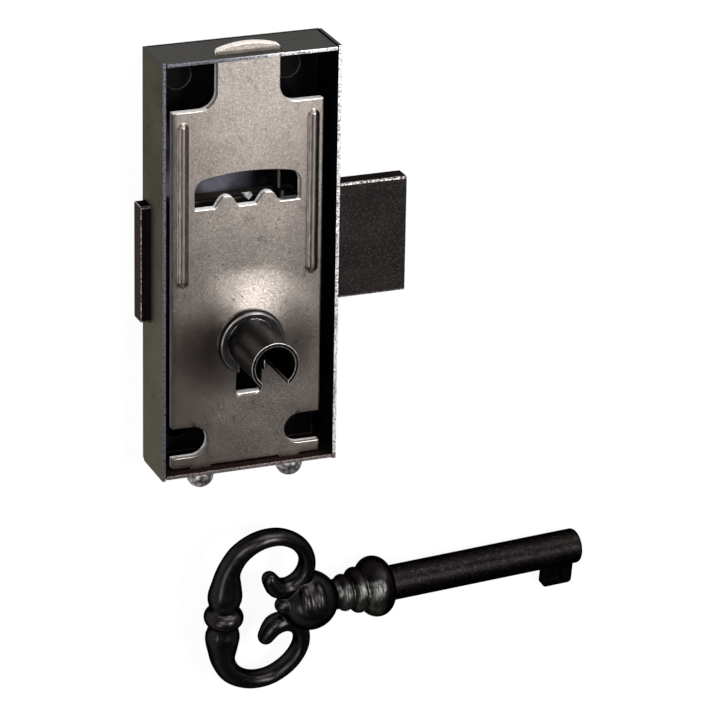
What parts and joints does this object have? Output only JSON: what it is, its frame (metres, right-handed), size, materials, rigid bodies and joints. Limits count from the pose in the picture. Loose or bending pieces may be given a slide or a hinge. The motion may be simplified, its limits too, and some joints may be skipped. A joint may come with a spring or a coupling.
{
  "type": "rim box lock",
  "caption": "Rim box lock of folded sheet steel with a sliding bolt, a slotted key tube on a sunk plate and a loose key with a scroll bow.",
  "frame": {"origin": "centre of the screw hole pattern, on the outer face of the case's back", "axes": "+X along the bolt's throw, +Y along the case to the tongue's end, +Z out of the open rim"},
  "size_m": [0.079, 0.1151, 0.0205],
  "materials": {
    "case_steel": "blued sheet with bright cut edges",
    "plate_steel": "satin, fine grain",
    "tube_steel": "dark polished",
    "stud_steel": "plain turned",
    "bolt_steel": "dark granular",
    "spring_steel": "plain strip",
    "bow_iron": "black, semi-gloss",
    "shank_iron": "black, fine grain"
  },
  "bodies": {
    "lock": {"case": "case_steel", "cover_plate": "plate_steel", "key_tube": "tube_steel", "guide_stud": "stud_steel"},
    "bolt": {"bolt": "bolt_steel", "detent_spring": "spring_steel"},
    "key": {"key_bow": "bow_iron", "key_shank": "shank_iron"}
  },
  "joints": [
    {"name": "bolt_slide", "type": "slide", "parent": "lock", "child": "bolt", "axis": [1, 0, 0], "range_m": [-0.014, 0], "deforming": ["detent_spring"]},
    {"name": "key_lift", "type": "slide", "parent": "lock", "child": "key", "axis": [0, 0, 1], "range_m": [0, 0.06]}
  ]
}
